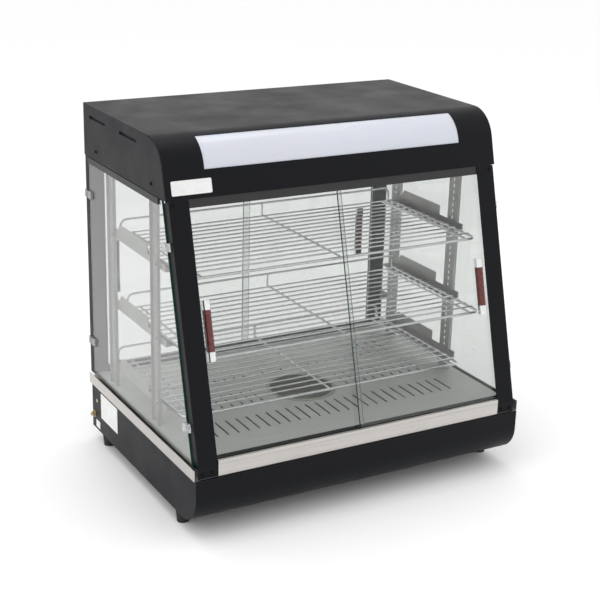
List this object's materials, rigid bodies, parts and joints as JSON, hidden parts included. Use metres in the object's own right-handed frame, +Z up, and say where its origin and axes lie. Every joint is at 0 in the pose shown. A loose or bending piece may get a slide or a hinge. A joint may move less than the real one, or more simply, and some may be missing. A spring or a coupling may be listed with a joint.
{
  "type": "hot food display case",
  "caption": "Countertop heated glass display case with a slanted front, sliding doors front and rear, wire shelves, a slotted deck with a water pan, and a lit canopy.",
  "frame": {"origin": "on the surface it stands on, mid-width and mid-depth of the whole outline", "axes": "+X to the right as a customer facing the slanted front sees it, +Y from the front to the operator's side, +Z up"},
  "size_m": [0.666, 0.4875, 0.652],
  "materials": {
    "black_coat": "satin powder coat",
    "stainless": "brushed stainless",
    "deck_sheet": "satin pressed sheet",
    "galvanised": "satin zinc sheet",
    "clear_glass": "clear float glass with green edges",
    "clear_plastic": "clear moulded plastic",
    "diffuser": "white translucent acrylic",
    "chrome_wire": "chromed wire",
    "chrome_cap": "polished chrome",
    "red_grip": "glossy dark red",
    "dark_grey_rail": "satin coated",
    "black_track": "extruded black plastic",
    "foot_rubber": "matt",
    "lamp_glass": "opal glass tube",
    "white_plastic": "moulded",
    "blank_label": "blank printed film",
    "heater_sheath": "heat-tinted tube",
    "ceramic": "off-white ceramic",
    "amber_lens": "clear amber",
    "black_plastic": "moulded",
    "red_rocker": "moulded",
    "pan_steel": "deep-drawn steel",
    "earth_brass": "plated brass",
    "screw_black": "black zinc"
  },
  "bodies": {
    "case": {"base_front_panel": "black_coat", "base_side_left": "black_coat", "base_side_right": "black_coat", "base_rear_panel": "black_coat", "feet": "foot_rubber", "deck_plate": "deck_sheet", "side_trim_left": "stainless", "side_trim_right": "stainless", "front_trim": "stainless", "front_lower_track": "black_track", "front_upper_track": "black_track", "rear_lower_track": "black_track", "rear_upper_track": "black_track", "front_post_left": "black_coat", "front_post_right": "black_coat", "rear_posts": "black_coat", "side_glass_left": "clear_glass", "side_glass_right": "clear_glass", "glass_clips": "clear_plastic", "glass_top_rails": "dark_grey_rail", "canopy_cover": "black_coat", "canopy_side_left": "black_coat", "canopy_side_right": "black_coat", "canopy_rear_panel": "black_coat", "canopy_ceiling": "stainless", "light_panel": "diffuser", "lamp_tube": "lamp_glass", "lamp_holders": "white_plastic", "nameplate": "blank_label", "shelf_uprights": "galvanised", "shelf_brackets": "galvanised", "heating_elements": "heater_sheath", "heater_hangers": "galvanised", "thermostat": "white_plastic", "terminal_block": "ceramic", "switch_bodies": "black_plastic", "indicator_lamp": "amber_lens", "cable_gland": "black_plastic", "earth_terminal": "earth_brass", "rating_plates": "blank_label", "panel_screws": "screw_black"},
    "front_door_left": {"front_left_pane": "clear_glass", "front_left_caps": "chrome_cap", "front_left_grip": "red_grip"},
    "front_door_right": {"front_right_pane": "clear_glass", "front_right_caps": "chrome_cap", "front_right_grip": "red_grip"},
    "rear_door_left": {"rear_left_pane": "clear_glass", "rear_left_caps": "chrome_cap", "rear_left_grip": "red_grip"},
    "rear_door_right": {"rear_right_pane": "clear_glass", "rear_right_caps": "chrome_cap", "rear_right_grip": "red_grip"},
    "top_shelf": {"shelf_top": "chrome_wire"},
    "middle_shelf": {"shelf_middle": "chrome_wire"},
    "bottom_shelf": {"shelf_bottom": "chrome_wire"},
    "pan": {"water_pan": "pan_steel"},
    "heat_knob": {"thermostat_knob": "black_plastic"},
    "power_switch": {"power_rocker": "red_rocker"},
    "lamp_switch": {"lamp_rocker": "red_rocker"}
  },
  "joints": [
    {"name": "front_left_slide", "type": "slide", "parent": "case", "child": "front_door_left", "axis": [1, 0, 0], "range_m": [0, 0.25]},
    {"name": "front_right_slide", "type": "slide", "parent": "case", "child": "front_door_right", "axis": [1, 0, 0], "range_m": [-0.25, 0]},
    {"name": "rear_left_slide", "type": "slide", "parent": "case", "child": "rear_door_left", "axis": [1, 0, 0], "range_m": [0, 0.24]},
    {"name": "rear_right_slide", "type": "slide", "parent": "case", "child": "rear_door_right", "axis": [1, 0, 0], "range_m": [-0.24, 0]},
    {"name": "top_shelf_lift", "type": "slide", "parent": "case", "child": "top_shelf", "axis": [0, 0, 1], "range_m": [0, 0.015]},
    {"name": "middle_shelf_lift", "type": "slide", "parent": "case", "child": "middle_shelf", "axis": [0, 0, 1], "range_m": [0, 0.02]},
    {"name": "bottom_shelf_lift", "type": "slide", "parent": "case", "child": "bottom_shelf", "axis": [0, 0, 1], "range_m": [0, 0.02]},
    {"name": "pan_lift", "type": "slide", "parent": "case", "child": "pan", "axis": [0, 0, 1], "range_m": [0, 0.03]},
    {"name": "knob_turn", "type": "hinge", "parent": "case", "child": "heat_knob", "pos_m": [-0.19, 0.227, 0.073], "axis": [0, 1, 0], "range_deg": [0, 300]},
    {"name": "power_rock", "type": "hinge", "parent": "case", "child": "power_switch", "pos_m": [-0.11, 0.224, 0.073], "axis": [1, 0, 0], "range_deg": [0, 14]},
    {"name": "lamp_rock", "type": "hinge", "parent": "case", "child": "lamp_switch", "pos_m": [-0.06, 0.224, 0.073], "axis": [1, 0, 0], "range_deg": [0, 14]}
  ]
}
